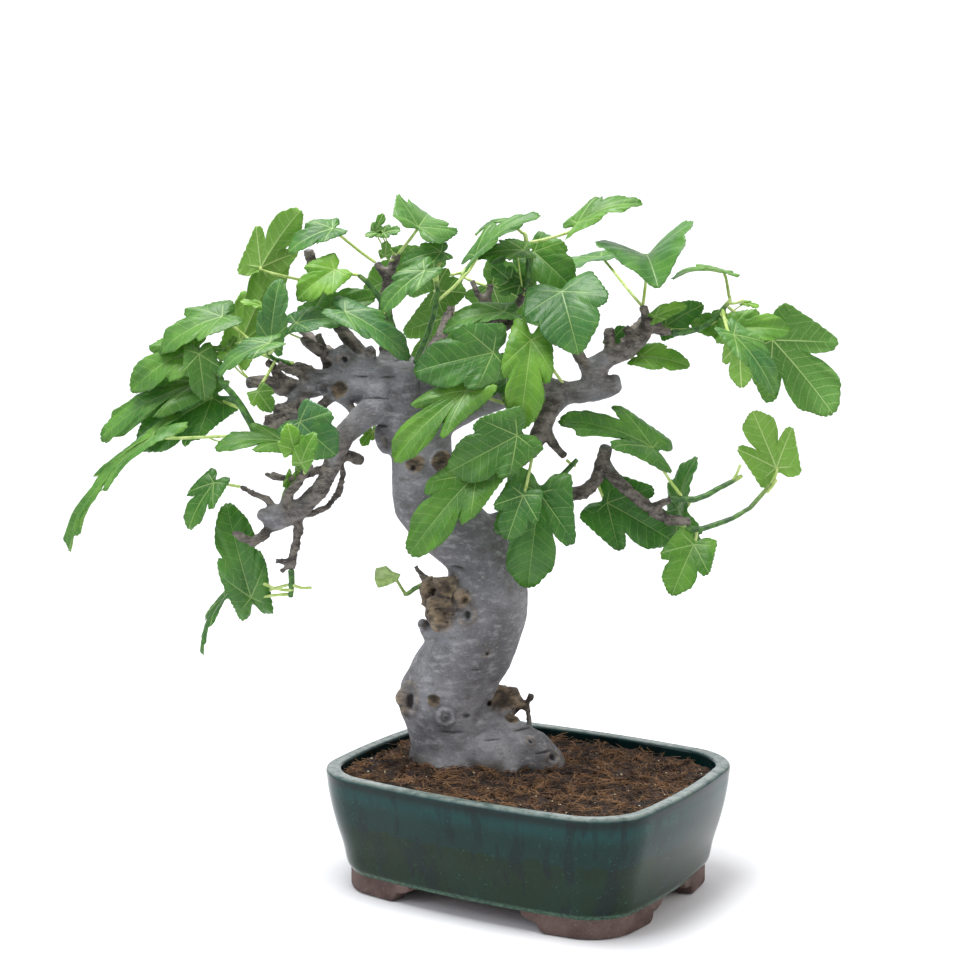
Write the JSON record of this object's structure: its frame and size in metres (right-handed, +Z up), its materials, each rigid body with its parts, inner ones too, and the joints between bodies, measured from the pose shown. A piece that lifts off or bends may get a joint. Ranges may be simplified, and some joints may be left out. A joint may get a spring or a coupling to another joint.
{
  "type": "potted fig bonsai",
  "caption": "Fig bonsai with a winding grey trunk, burrs, knobbly limbs and lobed green leaves, in a teal glazed rectangular pot on clay feet.",
  "frame": {"origin": "on the surface that the pot's feet stand on, under the middle of the whole object's box", "axes": "+Z up; +X along the pot's long side; +Y across the pot to its back, away from the tree's front"},
  "size_m": [0.5218, 0.339, 0.556],
  "materials": {
    "glaze": "glossy teal glaze, bare brown clay on the feet",
    "soil": "loose reddish-brown coir fibre with pale grit",
    "bark": "smooth mottled grey bark with tan callus",
    "green_stem": "smooth green young stem",
    "leaf": "matt green leaf, paler veins and underside"
  },
  "bodies": {
    "root": {"leaf_cluster_blue": "leaf", "leaf_cluster_bright": "leaf", "leaf_cluster_flat": "leaf", "leaf_cluster_young": "leaf", "leaf_crown_blue": "leaf", "leaf_far_right_long": "leaf", "leaf_far_right_under": "leaf", "leaf_front_dark": "leaf", "leaf_front_forked": "leaf", "leaf_front_long": "leaf", "leaf_hang_tall": "leaf", "leaf_left_blue": "leaf", "leaf_left_bright": "leaf", "leaf_left_dark": "leaf", "leaf_left_drooping": "leaf", "leaf_left_far": "leaf", "leaf_left_green": "leaf", "leaf_left_hook": "leaf", "leaf_left_lobed": "leaf", "leaf_left_low": "leaf", "leaf_left_shade": "leaf", "leaf_left_upright": "leaf", "leaf_lone": "leaf", "leaf_low_dark": "leaf", "leaf_lower_right_blue": "leaf", "leaf_lower_right_dark": "leaf", "leaf_lower_right_lit": "leaf", "leaf_mid_behind": "leaf", "leaf_mid_bright": "leaf", "leaf_mid_edge": "leaf", "leaf_mid_large": "leaf", "leaf_mid_right_big": "leaf", "leaf_mid_shade": "leaf", "leaf_peak_left": "leaf", "leaf_peak_right": "leaf", "leaf_right_dark": "leaf", "leaf_right_low": "leaf", "leaf_right_spiked": "leaf", "leaf_right_young": "leaf", "leaf_top_left": "leaf", "leaf_top_long": "leaf", "leaf_top_right_big": "leaf", "leaf_top_right_edge": "leaf", "pot": "glaze", "shoot_back": "green_stem", "shoot_burr": "green_stem", "shoot_crown_left": "green_stem", "shoot_far_right": "green_stem", "shoot_fork": "green_stem", "shoot_hanging": "green_stem", "shoot_inner": "green_stem", "shoot_left": "green_stem", "shoot_low_right": "green_stem", "shoot_mid": "green_stem", "shoot_mid_left": "green_stem", "shoot_ring_right": "green_stem", "shoot_top": "green_stem", "soil": "soil", "tree": "bark"}
  },
  "joints": []
}
